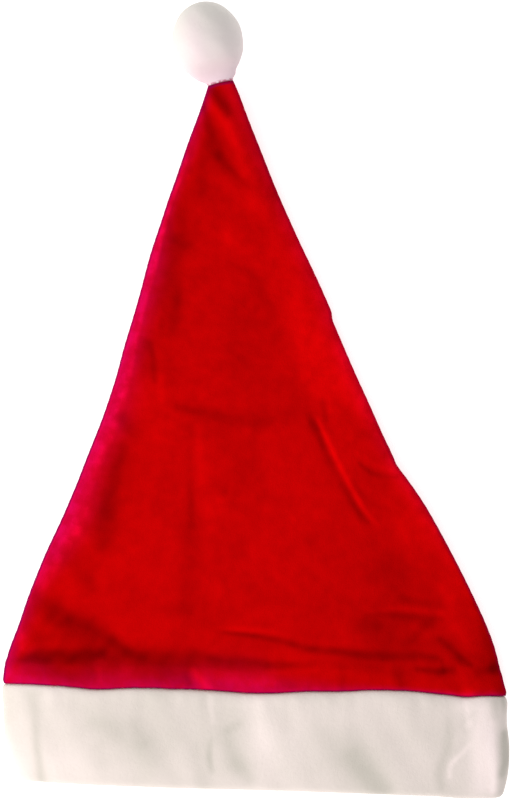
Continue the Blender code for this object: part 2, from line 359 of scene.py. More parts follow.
def section_ring(section, share, on_top, out, lens=0.0):
    """x, z and the distance from the side, round sections that are moved outwards by a distance.

    The upper curve is the full arch, one minus a power of the share, raised to a power under a
    half, or the lens, a quarter circle at the side and a parabola over the rest, or a mix. The
    lower one is the arch with a high power, which makes it flat over its middle.
    """
    left, right, low, high, edge, roundness = section
    middle, half = (left + right) / 2, (right - left) / 2 + out
    side = low + edge * (high - low)
    reach = np.abs(share)
    inwards = half * (1 - reach)
    arch = (1 - reach ** (2.9 - 0.9 * roundness)) ** (0.43 + 0.07 * roundness)
    roll = np.sqrt(1 - (1 - np.minimum(inwards / ROLL, 1)) ** 2)
    flat_arch = ROLL_SHARE * roll + (1 - ROLL_SHARE) * (1 - reach**2.2)
    arch = arch + lens * (flat_arch - arch)
    keel = np.minimum(1.0, 1.01 * (1 - reach ** (8 - 6 * roundness)) ** 0.5)
    x = middle + half * share
    z = np.where(on_top, side + (high + out - side) * arch, side - (side - low + out) * keel)
    return x, np.maximum(z, 0.0), inwards


print("crown width halfway up:", round(float(np.subtract(*crown_section(np.array(0.5))[1::-1])), 4))

# %% [markdown]
# ## Creases
#
# A felt hat that was packed flat keeps the print of it: valleys beside the rolled edges, a crease
# across the middle, a sharp slanting one, and a long trough just above the hem, where the doubled
# seam allowance ends. Each is a soft stroke along a few points. Across the stroke the cloth sinks
# or rises like a bell, and the same bell paints shade into the colour of a valley and a highlight
# into that of a ridge, so one strength gives both. A maker would read these off the real hat with
# a ruler. Each point says how far it is across and up from the seam's middle and how far the
# stroke reaches to each side there, in millimetres, and how strong it is there, below 0 for a valley.
#
# Strokes drawn by ruler look ruled, so the points that they are measured from are pushed about a
# little first, and the painted shading is made patchy. The seam isn't straight either: a last table
# says how far the thread pulls it up or down across the hat.

# %% The crown's creases
# The strengths shape the felt and also paint shade (below 0) or highlight (above 0) into its colour.
TIP_CREASES = (
    ((-32, 345, 3.4, -0.54), (-27.5, 339, 3.8, -0.54), (-23, 332.5, 3.0, -0.38)),
    ((-23.5, 349, 2.6, 0.24), (-20.5, 343, 3.2, 0.30), (-16, 332, 3.2, 0.20), (-9, 315, 3.0, 0.14)),
    (
        (-34, 339.5, 1.8, 0.04), (-30, 333.5, 2.4, 0.16), (-25, 327, 3.2, 0.28),
        (-18.5, 316.5, 4.2, 0.36), (-12.5, 300, 3.8, 0.16),
    ),
    (
        (-38, 336, 2.0, -0.36), (-35, 328, 3.0, -0.44), (-31.5, 316, 4.4, -0.50), (-27, 305.5, 3.6, -0.48),
        (-17.5, 296, 2.2, -0.24), (-9, 289, 1.6, -0.08),
    ),
    ((-38, 346, 3.6, -0.80), (-40, 338, 3.8, -0.60), (-42.5, 326, 2.8, -0.20), (-45.5, 308, 3.0, -0.14)),
    ((-39.5, 325, 3.5, -0.10), (-36, 304.5, 4.5, -0.18)),
    ((-13.5, 325, 3.0, -0.04), (-10, 311, 3.0, -0.04)),
    ((-5, 299.5, 3.0, -0.12), (1, 285, 3.4, -0.12)),
    ((-1, 301, 3.0, -0.16), (5, 287, 3.0, -0.18), (9, 276, 3.0, -0.08)),
    ((-44, 299, 3.4, -0.16), (-41, 294, 3.0, -0.14)),
    ((-38.5, 299, 3.4, -0.14), (-37, 292, 3.8, -0.24), (-38, 282, 4.0, -0.10)),
    ((-47, 291, 3.4, -0.12), (-44, 288, 3.4, -0.12)),
    ((-30.5, 296, 2.8, 0.12), (-18, 289, 3.8, 0.16), (-8, 281, 4.6, 0.18), (-1, 278, 3.6, 0.10)),
    ((-23, 263.5, 4.6, 0.12), (-21, 261, 4.6, 0.12)),
    ((-15.5, 243, 1.8, -0.06), (-5.5, 237.5, 2.6, -0.10), (-1.5, 229, 2.6, -0.08)),
    ((-11, 219, 14, -0.07), (-8, 189, 12, -0.08)),
    ((-20, 245, 5.0, -0.12), (-36, 236, 7.0, -0.12)),
    ((-20, 265, 6, 0.07), (2, 243, 8, 0.20), (12, 227, 6.5, 0.22), (16, 212, 6, 0.12)),
    ((-14, 216, 6, -0.08), (12, 206, 7, -0.06), (-14, 187, 6, -0.08)),
    ((-28, 178, 6, 0.07), (-16, 175, 6, 0.07)),
)
LEFT_CREASES = (
    (
        (-47.5, 283, 5.5, -0.16), (-50, 262, 8.0, -0.34), (-53.5, 243, 7.5, -0.32), (-57, 221, 6.6, -0.28),
        (-60, 206, 5.0, -0.16),
    ),
    ((-49.5, 232, 3.6, -0.08), (-50, 215, 3.8, -0.30), (-53, 205, 3.0, -0.10)),
    ((-38, 269, 3.4, -0.16), (-43, 255, 3.4, -0.12)),
    ((-56, 268.5, 2.6, -0.14), (-54, 258, 2.4, -0.12)),
    ((-67.5, 199, 3.4, -0.26), (-69, 189, 3.6, -0.22), (-66, 180, 3.0, -0.12)),
    ((-65, 198, 2.0, -0.16), (-62.8, 187, 2.4, -0.36), (-62, 177, 2.2, -0.28)),
    ((-57, 192, 6.0, -0.10), (-51, 177, 6.0, -0.14)),
    ((-59.5, 268, 2.2, 0.12), (-62.5, 254, 2.4, 0.14)),
    ((-59, 217, 1.9, 0.10), (-61, 209, 2.0, 0.14), (-61, 203, 1.8, 0.10)),
    ((-58, 178, 2.2, 0.10), (-58, 166, 2.6, 0.14)),
    ((-81, 155, 4.6, -0.26), (-76, 149, 5.0, -0.28), (-73.5, 145, 4.0, -0.12)),
    ((-79, 137, 4.0, -0.26), (-85, 118, 5.4, -0.34), (-86.5, 103.5, 6.4, -0.48), (-89, 84, 6.0, -0.22)),
    ((-96, 116, 4.0, -0.12), (-98, 108, 4.0, -0.10)),
    ((-123, 66, 3.0, 0.08), (-126, 58, 2.6, 0.04)),
    ((-57, 147, 6, 0.15), (-62, 124, 7, 0.07), (-64, 108, 6, 0.06)),
    ((-103, 88, 4.0, 0.12), (-97, 79, 4.0, 0.10)),
    ((-21, 108, 4.0, 0.12), (-20, 104, 4.0, 0.08)),
    ((-113, 75, 4.2, -0.16), (-103, 70, 5.0, -0.12), (-95, 57, 5.0, -0.24)),
    ((-116, 66, 5.0, 0.10), (-112, 58, 5.0, 0.06)),
)
MIDDLE_CREASES = (
    (
        (-48.5, 162.5, 2.4, -0.22), (-29.5, 158.5, 4.4, -0.24), (-9.5, 155, 4.8, -0.22),
        (4, 154.5, 4.2, -0.10),
    ),
    ((4, 155, 3.6, -0.06), (25, 160, 3.0, -0.10)),
    ((-31, 170, 4.6, 0.14), (-21, 162, 3.6, 0.12), (-9, 150.5, 4.4, 0.16)),
    ((-35, 151.5, 2.2, 0.10), (-33, 126, 3.8, 0.15), (-28, 103, 5.0, 0.12)),
    ((-40, 152, 3.0, -0.10), (-40, 128, 3.0, -0.10), (-38.5, 110, 2.2, -0.16), (-39.5, 95, 3.2, -0.14)),
    ((-39.5, 92, 4.0, -0.10), (-39, 60, 6.0, -0.09), (-36, 20, 6.0, -0.08)),
    ((-28, 100, 5.0, 0.06), (-26.5, 64, 5.0, 0.06)),
    ((-20.5, 117, 2.4, -0.13), (-19.5, 112.5, 2.4, -0.13)),
    ((-18, 140, 8.0, -0.14), (-9.5, 134, 5.0, -0.06)),
    ((4.5, 144, 7, 0.05), (7, 118.5, 7, 0.05)),
    ((-18, 63, 2.4, -0.11), (-16.5, 59, 2.4, -0.11)),
    ((-49, 49.5, 6.0, -0.08), (-38.5, 47.5, 6.0, -0.06)),
    ((-64, 34, 7.0, 0.07), (-40, 35, 7.0, 0.08)),
    (
        (28.5, 158, 2.4, -0.22), (30, 154, 2.8, -0.40), (34.6, 146, 2.4, -0.32),
        (39.5, 135, 2.6, -0.24), (44, 125.5, 2.6, -0.14),
    ),
    (
        (46.5, 120, 2.4, -0.14), (50.6, 114, 2.4, -0.24), (55.8, 106.4, 2.2, -0.38),
        (59.4, 101.6, 2.2, -0.34), (63.5, 98, 1.5, -0.18),
    ),
    (
        (33, 156.5, 1.5, 0.20), (36.6, 149.5, 1.7, 0.36), (40.4, 142.5, 1.8, 0.42), (46, 130.6, 1.9, 0.44),
        (51.9, 119.6, 1.9, 0.44), (56.2, 112.4, 1.7, 0.38), (60.6, 105.4, 1.5, 0.30), (65, 100.5, 1.2, 0.18),
        (69.5, 96.5, 1.1, 0.12),
    ),
    ((35.5, 167, 1.6, -0.14), (38, 157, 2.0, -0.16)),
    ((40, 168, 1.5, 0.10), (40.5, 162, 1.5, 0.12)),
    ((52.5, 121, 2.4, -0.10), (61, 112, 3.0, -0.14), (72, 104, 3.6, -0.06)),
    ((62, 152, 5.0, -0.10), (68.5, 145, 4.4, -0.26), (74, 136, 3.6, -0.22)),
    ((53, 147, 4.0, 0.10), (60, 138, 4.4, 0.08)),
    ((72, 123, 4.0, -0.06), (80, 119, 4.0, -0.06)),
    ((57.5, 131.5, 1.4, -0.22), (61.5, 128.5, 1.7, -0.24), (67, 126, 1.7, -0.22), (79, 124.8, 1.5, -0.20)),
    ((56, 137, 1.7, 0.10), (64, 132, 1.7, 0.12), (75, 129, 1.6, 0.12)),
    ((19, 99.5, 1.8, 0.07), (26, 89.5, 1.8, 0.07)),
    ((22.5, 94, 2.2, -0.07), (29.5, 86, 2.2, -0.08)),
)
RIGHT_CREASES = (
    ((41, 200, 4.0, 0.12), (49, 185, 3.0, 0.05), (60, 163, 3.0, 0.05)),
    ((27, 182, 6.0, 0.10), (38, 175, 6.0, 0.12)),
    ((44, 142, 3.0, 0.10), (54, 132, 4.0, 0.12)),
    ((98, 99, 3.0, 0.10), (101, 94, 3.0, 0.08)),
    ((93, 94, 4.0, -0.08), (103, 91, 4.0, -0.12)),
    ((107, 76, 3.0, -0.06), (110, 71, 3.0, -0.06)),
    ((109, 61, 4.0, 0.14), (112, 57, 4.0, 0.10)),
    ((92, 38.5, 3.4, 0.12), (98, 35, 3.4, 0.10)),
    ((103, 47, 3.0, -0.12), (103, 41, 3.0, -0.12)),
    ((119, 22, 3.0, -0.08), (124, 23, 3.4, -0.10), (131, 21, 3.4, -0.12)),
    ((134, 16.5, 2.4, 0.08), (137, 16, 2.4, 0.08)),
    (
        (-13, 305, 5, 0.08), (2, 272, 8, 0.16), (18, 244, 8, 0.26), (26, 214, 9, 0.30), (41, 192, 10, 0.44),
        (51, 174, 8, 0.30), (59, 160, 5, 0.28),
    ),
    ((22, 206, 6, 0.18), (26, 192, 8, 0.24), (31, 182, 7, 0.26), (40, 166, 7, 0.14), (50, 150, 5, 0.08)),
    ((74, 109, 5, 0.10), (92, 79, 5.5, 0.16), (93, 72, 5, 0.10)),
    ((62, 154, 5, 0.14), (84, 117, 7, 0.22), (95, 98, 7, 0.30), (109, 74, 6, 0.12), (118, 52, 5, 0.10)),
    ((30, 120, 18, 0.06), (60, 90, 14, 0.05)),
    ((69, 82, 8, -0.12), (79, 59.5, 11, -0.12), (71.5, 36.5, 11, -0.12)),
    ((80, 80, 6, -0.10), (105, 79, 5, -0.12)),
    ((55, 39, 4.4, -0.12), (70, 38, 6.6, -0.18), (86, 39.5, 5.6, -0.14)),
    ((70, 29, 4.0, -0.08), (87, 29, 4.6, -0.24), (99, 40, 4.4, -0.28)),
    ((66.5, 47, 1.4, 0.08), (85.5, 49, 1.8, 0.18), (108, 47.5, 1.8, 0.14)),
    ((83, 55.5, 2.4, -0.16), (104, 51.5, 2.4, -0.20)),
    ((64, 44, 2.4, -0.12), (84, 45, 3.0, -0.20), (107, 44, 2.4, -0.16)),
    (
        (-18, 33.5, 1.2, -0.20), (-2, 31.8, 1.7, -0.34), (15, 29, 2.0, -0.38), (30, 25.8, 2.6, -0.42),
        (45, 24.0, 3.0, -0.42), (60, 22.8, 3.2, -0.44), (78, 22.4, 3.6, -0.50), (92, 22, 3.0, -0.40),
        (104, 20.5, 2.2, -0.22),
    ),
    ((-21, 36, 1.3, 0.10), (-2, 35.5, 1.9, 0.20), (18.5, 32.5, 1.5, 0.10)),
    (
        (8, 15, 2.4, -0.14), (30, 17, 2.6, -0.10), (60, 17, 3.6, -0.18), (76, 13, 3.8, -0.12),
        (90, 13, 3, -0.06),
    ),
    ((-8, 24, 4, 0.08), (12, 22, 3.0, 0.06)),
    ((8.5, 12, 1.8, 0.08), (26, 12.5, 2.4, 0.12), (41, 15, 1.8, 0.06)),
    ((107.5, 31, 3.0, -0.36), (114.5, 25, 2.9, -0.40), (119.5, 20, 2.6, -0.42), (124, 17.5, 2.0, -0.34)),
    ((94, 14.5, 1.8, -0.26), (105, 13.5, 2.4, -0.38), (113, 14.5, 2.2, -0.26)),
    ((107.5, 19, 2.0, -0.20), (108.5, 14, 2.0, -0.20)),
    ((82.5, 14, 4.0, -0.20), (86, 6.5, 4.0, -0.26)),
    ((125, 56, 2.2, -0.10), (131, 40, 2.4, -0.18), (136, 27, 2.8, -0.28), (139, 14, 4.4, -0.42)),
    ((129, 11, 3.0, -0.20), (131, 9, 2.6, -0.12)),
    ((141, 6, 3.0, -0.20), (142, 1, 3.0, -0.24)),
    ((128, 14, 3.0, -0.24), (136, 15, 3.4, -0.34), (143, 17, 3.4, -0.34)),
    ((118, 14, 2.6, 0.16), (121, 8, 3.0, 0.16), (124, 1.5, 4.2, 0.26)),
    ((119, 38, 4.5, 0.10), (124, 27, 4.0, 0.16)),
    ((110, 60.5, 5.5, 0.12), (114.5, 40, 4.5, 0.10)),
)
HEM_CREASES = (
    (
        (-137, 14, 2.8, -0.34), (-131, 14.8, 4.0, -0.60), (-122, 16, 4.6, -0.76), (-110, 16, 5.0, -0.84),
        (-103, 16.4, 4.8, -0.74), (-95.5, 17.6, 4.8, -0.74), (-89, 19.5, 4.6, -0.54),
    ),
    (
        (-124, 47, 5.4, -0.36), (-118, 43, 6.8, -0.52), (-110, 39, 6.8, -0.56), (-101, 37, 6.4, -0.54),
        (-92, 33.2, 5.8, -0.54), (-84.5, 28.2, 5.0, -0.50), (-78, 24.3, 4.0, -0.40),
        (-72, 21.5, 3.6, -0.18),
    ),
    ((-126, 28, 5, -0.26), (-108, 27, 5, -0.16), (-94, 26, 5, -0.16)),
    ((-87, 20.5, 3.4, -0.30), (-82, 20, 3.4, -0.30)),
    ((-134.5, 21, 2.2, 0.18), (-134.5, 27, 2.2, 0.20)),
    ((-129, 51, 4.0, -0.20), (-131, 44, 4.4, -0.26), (-132, 36, 4.4, -0.24), (-134, 29, 3.0, -0.10)),
    ((-139.5, 20, 2.4, -0.16), (-142, 11, 2.4, -0.18)),
    ((-130, 8, 4.0, -0.12), (-117, 8, 5.0, -0.26), (-104, 7, 5.0, -0.30), (-80, 10, 5.5, -0.22)),
    ((-66, 11, 6.0, -0.20), (-43, 8.5, 5.5, -0.20)),
    (
        (-84, 17, 4.4, -0.34), (-76, 17.5, 5.2, -0.46), (-67, 18.5, 6.0, -0.48),
        (-52, 17.5, 6.0, -0.46), (-36, 17.5, 5.2, -0.42),
        (-20, 16.8, 4.4, -0.40), (-4, 16.2, 3.4, -0.38), (11, 16, 2.8, -0.28), (24, 16.5, 2.0, -0.10),
    ),
    ((-141, 4.5, 3.4, 0.12), (-128, 3, 3.4, 0.08)),
    ((-89.5, 10, 2.0, 0.14), (-88, 3, 2.2, 0.12)),
    ((-39.5, 10, 2.4, -0.18), (-37, 4, 2.6, -0.24)),
    ((-62, 6, 4.0, -0.10), (-55, 5, 4.0, -0.08)),
    ((-35, 12.5, 1.6, 0.18), (-31.5, 8, 2.8, 0.40), (-27, 2.5, 2.8, 0.44)),
    ((-20, 9, 4.0, 0.12), (-8, 5, 4.0, 0.26), (6, 5, 4.0, 0.24), (16, 8, 3.0, 0.08)),
    ((16, 7, 3.4, -0.14), (22, 4, 2.8, -0.16)),
    ((50.5, 14, 2.4, -0.14), (50.5, 1, 2.4, -0.14)),
    ((112, 1, 2.6, 0.14), (125, 1.5, 2.6, 0.16)),
)
CROWN_CREASES = TIP_CREASES + LEFT_CREASES + MIDDLE_CREASES + RIGHT_CREASES + HEM_CREASES
CREASE_DEPTH = 0.40
DARKEST = 0.80


def smooth_path(stops, parts=3):
    """More stops on the smooth curve through a stroke's own, each run in a few equal parts."""
    index = np.arange(len(stops))
    places = np.linspace(0, len(stops) - 1, (len(stops) - 1) * parts + 1)
    return np.stack(read_rows(np.column_stack([index, stops]), places), axis=1)


def creases(x, y, rows, depth):
    """Height and painted shading of all strokes at points measured from the seam's middle.

    Along a stroke the nearest of its runs counts, so runs join without a lump. With d for the
    distance over the reach there, the stroke fades as e to the minus d squared. Its height is
    the same bell times the mean reach and a depth share. Where dark strokes cross, their summed
    painted shade levels off at the darkest value.
    """
    height, tone = np.zeros(x.shape), np.zeros(x.shape)
    for stops in rows:
        path = smooth_path(np.array(stops) * (MM, MM, MM, 1))
        nearest, strength = np.full(x.shape, np.inf), np.zeros(x.shape)
        for start, end in zip(path[:-1], path[1:]):
            run = end - start
            along = (x - start[0]) * run[0] + (y - start[1]) * run[1]
            t = np.clip(along / (run[0] ** 2 + run[1] ** 2), 0, 1)
            away = np.hypot(x - start[0] - t * run[0], y - start[1] - t * run[1])
            away = away / (start[2] + t * run[2])
            strength = np.where(away < nearest, start[3] + t * run[3], strength)
            nearest = np.minimum(nearest, away)
        bell = strength * np.exp(-(nearest**2))
        height += bell * path[:, 2].mean() * depth
        tone += bell
    return height, np.maximum(tone, DARKEST * np.tanh(tone / DARKEST))


WAVE_ROWS = (
    # across in mm, rise in mm
    (-144, -0.7),
    (-128, 0.1),
    (-114, 0.1),
    (-102, -0.8),
    (-93, -1.2),
    (-80, -0.6),
    (-66, 0.1),
    (-55, 0.9),
    (-45, 0.5),
    (-31, -0.2),
    (-17, -0.3),
    (-4, -0.8),
    (17, -0.5),
    (31, 0.4),
    (41, 1.2),
    (58, 1.6),
    (79, 2.5),
    (100, 1.1),
    (113, 0.3),
    (121, -0.8),
    (134, -0.4),
    (144, -0.9),
)


def seam_rise(x):
    """How far the seam waves up or down across the hat: the table's wave and a finer one."""
    wave = read_rows(WAVE_ROWS, np.clip(x / MM, -144, 144))[0] * MM
    return wave + ripple(x, 0.0, 41, (0.055, 0.031, 0.019), 0.00030)


def wandering(x, y, seed):
    """The same points pushed about a little, so that straight strokes wander as cloth does."""
    lengths = (0.061, 0.037, 0.029)
    return x + ripple(x, y, seed, lengths, 0.0005), y + ripple(x, y, seed + 1, lengths, 0.0005)


def patchy(x, y, seed):
    """A share near 1 that varies from place to place, so that the painted shading is uneven."""
    return 1 + ripple(x, y, seed, np.geomspace(0.009, 0.030, 9), 0.15)


print("creases in the crown:", len(CROWN_CREASES))

# %% [markdown]
# ## Skins from rings
#
# Every soft piece here is one closed skin through a stack of rings. The helper joins each ring to
# the next with four-sided faces, closes an end with a fan where it is asked to, and writes the
# arrays straight into a mesh. Extra arrays can ride along as attributes, which the materials
# read later to know how far a point is from a seam or an edge.

# %% The skin helper
def quads_between(count, lower, upper):
    """Faces between two rings of equal length that start at the given vertices."""
    k = np.arange(count)
    m = (k + 1) % count
    return np.stack([lower + k, lower + m, upper + m, upper + k], axis=1)


def fan(count, ring_start, centre, turned):
    """Triangles from a centre to a ring, turned round for a ring that faces the other way."""
    k = np.arange(count)
    m = (k + 1) % count
    a, b = (m, k) if turned else (k, m)
    return np.stack([np.full(count, centre), ring_start + a, ring_start + b], axis=1)


def mesh_object(name, points, face_groups, marks=()):
    """An object from arrays: points, then groups of faces with equally many corners."""
    mesh = bpy.data.meshes.new(name)
    corners = np.concatenate([group.ravel() for group in face_groups])
    sizes = np.concatenate([np.full(len(group), group.shape[1]) for group in face_groups])
    starts = np.concatenate([[0], np.cumsum(sizes)[:-1]])
    mesh.vertices.add(len(points))
    mesh.vertices.foreach_set("co", points.astype(np.float32).ravel())
    mesh.loops.add(len(corners))
    mesh.loops.foreach_set("vertex_index", corners.astype(np.int32))
    mesh.polygons.add(len(sizes))
    mesh.polygons.foreach_set("loop_start", starts.astype(np.int32))
    mesh.update(calc_edges=True)
    mesh.validate()
    for mark, values in marks:
        layer = mesh.attributes.new(mark, "FLOAT", "POINT")
        layer.data.foreach_set("value", values.astype(np.float32).ravel())
    mesh.shade_smooth()
    made = bpy.data.objects.new(name, mesh)
    bpy.context.scene.collection.objects.link(made)
    print(f"{name}: {len(points)} points, {len(sizes)} faces")
    return made


# %% [markdown]
# ## The crown
#
# Two panels of felt are sewn together down both sides, turned right side out, and end in a hem
# that is sewn to the cuff. What shows is one cone of cloth. It could be draped by simulation, but
# the outline and the folds are known, so the surface is worked out instead: ring after ring of
# the section above, with the folds, a faint ripple, the step over the seam allowance and the
# small puckers that the thread pulls along the hem.
#
# Red felt looks colder where it turns away, by its sheen, and that sheen is painted into the
# colour here. Each point of the surface therefore carries a painted crimson sheen, from tables of
# how far it reaches in from the left side and up from the hem, and a painted highlight, since the
# rolled side catches the lamp in a narrow strip.

# %% Where the painted sheen turns the red crimson
# Painted crimson sheen along the left roll: how far it reaches in and how strong it is.
LEFT_GLOW_ROWS = (
    # up, reach in mm, strength
    (0.00, 6.6, 1.30),
    (0.05, 5.4, 0.85),
    (0.12, 5.2, 0.65),
    (0.16, 6.0, 0.65),
    (0.22, 9.6, 0.95),
    (0.28, 11.0, 1.00),
    (0.35, 9.0, 1.00),
    (0.45, 9.8, 1.00),
    (0.55, 7.5, 1.20),
    (0.70, 7.2, 1.00),
    (0.75, 5.5, 0.90),
    (0.79, 4.0, 0.95),
    (0.84, 4.0, 0.70),
    (0.90, 4.4, 0.80),
    (1.00, 3.0, 0.60),
)
# How far the painted crimson sheen reaches up over the hem.
HEM_GLOW_ROWS = (
    # across, reach in mm
    (-0.50, 8.0),
    (-0.44, 9.0),
    (-0.38, 5.0),
    (-0.31, 7.5),
    (-0.22, 6.3),
    (-0.10, 8.0),
    (0.00, 8.6),
    (0.06, 5.0),
    (0.15, 2.9),
    (0.29, 1.4),
    (0.50, 1.8),
)
# Painted highlight on the strip of the left roll that catches the lamp.
LEFT_LIT_ROWS = (
    # up, border in mm, strength
    (0.00, 3.5, 0.00),
    (0.09, 5.5, 0.00),
    (0.14, 7.5, 0.35),
    (0.21, 10.5, 0.90),
    (0.27, 13.0, 1.30),
    (0.34, 9.2, 1.00),
    (0.41, 9.6, 1.30),
    (0.47, 9.2, 1.45),
    (0.54, 7.2, 1.30),
    (0.64, 5.2, 1.05),
    (0.69, 5.4, 1.45),
    (0.74, 4.4, 1.30),
    (0.79, 3.2, 1.25),
    (0.85, 3.6, 0.80),
    (0.92, 3.0, 0.30),
    (1.00, 3.0, 0.00),
)
# Painted highlight and painted sheen along the right roll, and painted sheen over the hem.
RIGHT_GLOW, RIGHT_LIT, RIGHT_PAINTED_SHEEN = 6.0, 0.75, 0.16
HEM_PAINTED_SHEEN = 0.85


def painted_sheen_and_highlight(up, x, from_left, from_right, above_seam):
    """The painted crimson sheen beside a roll or over the hem, and the painted highlight on the rolls.

    The painted sheen fades as e to the minus distance over reach, raised to a power near 1.5. The
    painted highlight on the left grows brighter up to its border and ends there; on the right it only fades.
    """
    reach, strength = read_rows(LEFT_GLOW_ROWS, up)
    beside = strength * np.exp(-((from_left / (reach * MM)) ** 1.7))
    border, lit_strength = read_rows(LEFT_LIT_ROWS, up)
    into_strip = from_left / (border * MM)
    lit = lit_strength * (0.55 + 0.45 * ease(into_strip, 0.1, 0.8)) * ease(into_strip, 1.35, 0.85)
    right_reach = RIGHT_GLOW * MM
    painted_highlight_on_right = RIGHT_LIT * np.exp(-((from_right / right_reach) ** 2))
    lit = lit + painted_highlight_on_right * ease(up, 0.06, 0.2) * ease(up, 0.92, 0.8)
    right_side = RIGHT_PAINTED_SHEEN * np.exp(-((from_right / right_reach) ** 1.5)) * ease(up, 0.15, 0.4)
    hem_reach = read_rows(HEM_GLOW_ROWS, np.clip(x / CROWN_WIDTH, -0.5, 0.5))[0] * MM
    over_hem = HEM_PAINTED_SHEEN * np.exp(-((np.maximum(above_seam, 0) / hem_reach) ** 1.4))
    return np.maximum(np.maximum(beside, over_hem), right_side), lit


print("crimson reaches", max(row[1] for row in LEFT_GLOW_ROWS), "mm in from the left")

# %% [markdown]
# ## Ring after ring
#
# The rings lie close together by the hem, where the puckers are, and further apart above it. The
# felt is one closed wall: a fine outer face that shows, and a coarse inner one a cloth's
# thickness inside it, so the hollow for the head stays open. Both faces follow the creases, but
# only the outer one has the faint ripple, the step over the seam allowance, the dip at the seam
# and the puckers. Each point also notes its distance from both sides and its height above the seam.

# %% The crown's surface
CROWN_TOP_STEPS, CROWN_UNDER_STEPS = 290, 50
HEM_RINGS, UPPER_RINGS, HEM_ZONE = 56, 200, 0.13
INNER_RINGS = 44
STEP_END = 0.0135
STEP_HEIGHT = 0.0005
SEAM_DIP = 0.0009
SEAM_DIP_REACH = 0.0012
PUCKER_HEIGHT = 0.00030
PUCKER_REACH = 0.0035


def pucker(x, seed, spacing):
    """Uneven small waves along a seam: sines near one spacing, whose sum beats and fades."""
    chance = np.random.default_rng(seed)
    total = np.zeros_like(x)
    for stretch in (0.78, 1.0, 1.31):
        phase = chance.uniform(0, 2 * np.pi)
        total += np.sin(x * 2 * np.pi / (spacing * stretch) + phase)
    return total / 3


def crown_skin(up, top_steps, under_steps, out, fine):
    """Points of the crown's skin, a ring for each share up it, moved out by a distance.

    Also gives what the material reads: the distances from the left and the right side, the
    height above the seam, the creases' painted shading, the painted crimson sheen and the painted highlight.
    """
    up = up[:, None]
    share, on_top = ring_shares(top_steps, under_steps)
    section = crown_section(up)
    above_seam = up * CROWN_HEIGHT
    if fine:
        out = out + STEP_HEIGHT * (1 - ease(above_seam, STEP_END - 0.002, STEP_END + 0.002))
        out = out - SEAM_DIP * np.exp(-((above_seam / SEAM_DIP_REACH) ** 2))
    x, z, inwards = section_ring(section, share, on_top, out, lens_share(up))
    slant = math.tan(TIP_TURN) * ease(up, 0.8, 1.0)
    near_seam = 1 - ease(up, 0.0, 0.2)
    y = above_seam + seam_rise(x) * near_seam + slant * (x - (section[0] + section[1]) / 2)
    # The creases give the relief and the painted shading: painted shade in valleys, painted highlight on
    # ridges.
    height, tone = creases(*wandering(x, y, 31), CROWN_CREASES, CREASE_DEPTH)
    shown = ease(inwards, 0.0, 0.005) * on_top
    z = z + height * shown * ease(above_seam, 0.0, 0.002) * (1 - ease(up, 0.97, 1.0))
    if fine:
        z = z + ripple(x, y, 3, (0.047, 0.061, 0.033, 0.026, 0.039), 0.00020) * shown
        z = z + pucker(x, 5, 0.011) * PUCKER_HEIGHT * shown * np.exp(-above_seam / PUCKER_REACH)
    from_left = inwards + (share > 0) * 1.0
    from_right = inwards + (share < 0) * 1.0
    crimson, lit = painted_sheen_and_highlight(up, x, from_left, from_right, above_seam)
    above = above_seam + 0 * x
    marks = (from_left, from_right, above, tone * patchy(x, y, 61) * on_top, crimson, lit)
    return np.stack([x + seam_x, y + seam_y, z], axis=-1), marks


def add_crown():
    """The crown as one closed wall: a coarse inner face and a fine outer one, joined at the hem.

    Each inner ring has half as many points as an outer one, so at the hem every inner edge meets
    two outer edges in three triangles.
    """
    near_hem = np.linspace(0, HEM_ZONE, HEM_RINGS + 1)[:-1]
    outer_up = np.concatenate([near_hem, np.linspace(HEM_ZONE, 1, UPPER_RINGS + 1)])
    inner_up = np.linspace(1 - CLOTH / CROWN_HEIGHT, 0, INNER_RINGS + 1)
    outer, marks = crown_skin(outer_up, CROWN_TOP_STEPS, CROWN_UNDER_STEPS, 0.0, True)
    inner, _ = crown_skin(inner_up, CROWN_TOP_STEPS // 2, CROWN_UNDER_STEPS // 2, -CLOTH, False)
    rings, many, few = outer.shape[0] - 1, outer.shape[1], inner.shape[1]
    first = inner.shape[0] * few
    points = np.concatenate([inner.reshape(-1, 3), outer.reshape(-1, 3)])
    groups = [quads_between(few, i * few, (i + 1) * few) for i in range(INNER_RINGS)]
    groups += [quads_between(many, first + i * many, first + (i + 1) * many) for i in range(rings)]
    k = np.arange(few)
    low, low_next = INNER_RINGS * few + k, INNER_RINGS * few + (k + 1) % few
    one, two, three = first + 2 * k, first + 2 * k + 1, first + (2 * k + 2) % many
    zipper = ((low, two, one), (low, low_next, two), (low_next, three, two))
    groups += [np.stack(corners, 1) for corners in zipper]
    last = first + rings * many
    ends = np.stack([points[:few].mean(0), points[last : last + many].mean(0)])
    groups.append(fan(few, 0, len(points), True))
    groups.append(fan(many, last, len(points) + 1, False))
    plain = ((0.5, 0.5, 0.1, 0.0, 0.0, 0.0), (0.5, 0.5, 1.0, 0.0, 0.0, 0.0))
    names = ("from_left", "from_right", "above_seam", "tone", "crimson", "lit")
    carried = [
        (name, np.concatenate([np.full(first, inside), mark.ravel(), [inside, outside]]))
        for name, mark, inside, outside in zip(names, marks, *plain)
    ]
    points = np.concatenate([points, ends])
    return mesh_object("crown_felt", points, groups, carried)


crown = add_crown()

# %% [markdown]
# ## The band
#
# The cuff is a strip of fleece folded double along its lower edge, with both raw edges sewn into
# the hem inside the crown. Its profile is therefore one long hairpin: up the inside, round the
# lower fold, up the outside, in over the seam and up behind the crown, and back down between the
# two layers. The profile is carried round the opening, and the outer layer gets the long soft
# waves of a padded edge and a few upright creases. Its lower fold isn't quite straight: it lifts
# a little by the middle and drops at the right corner.

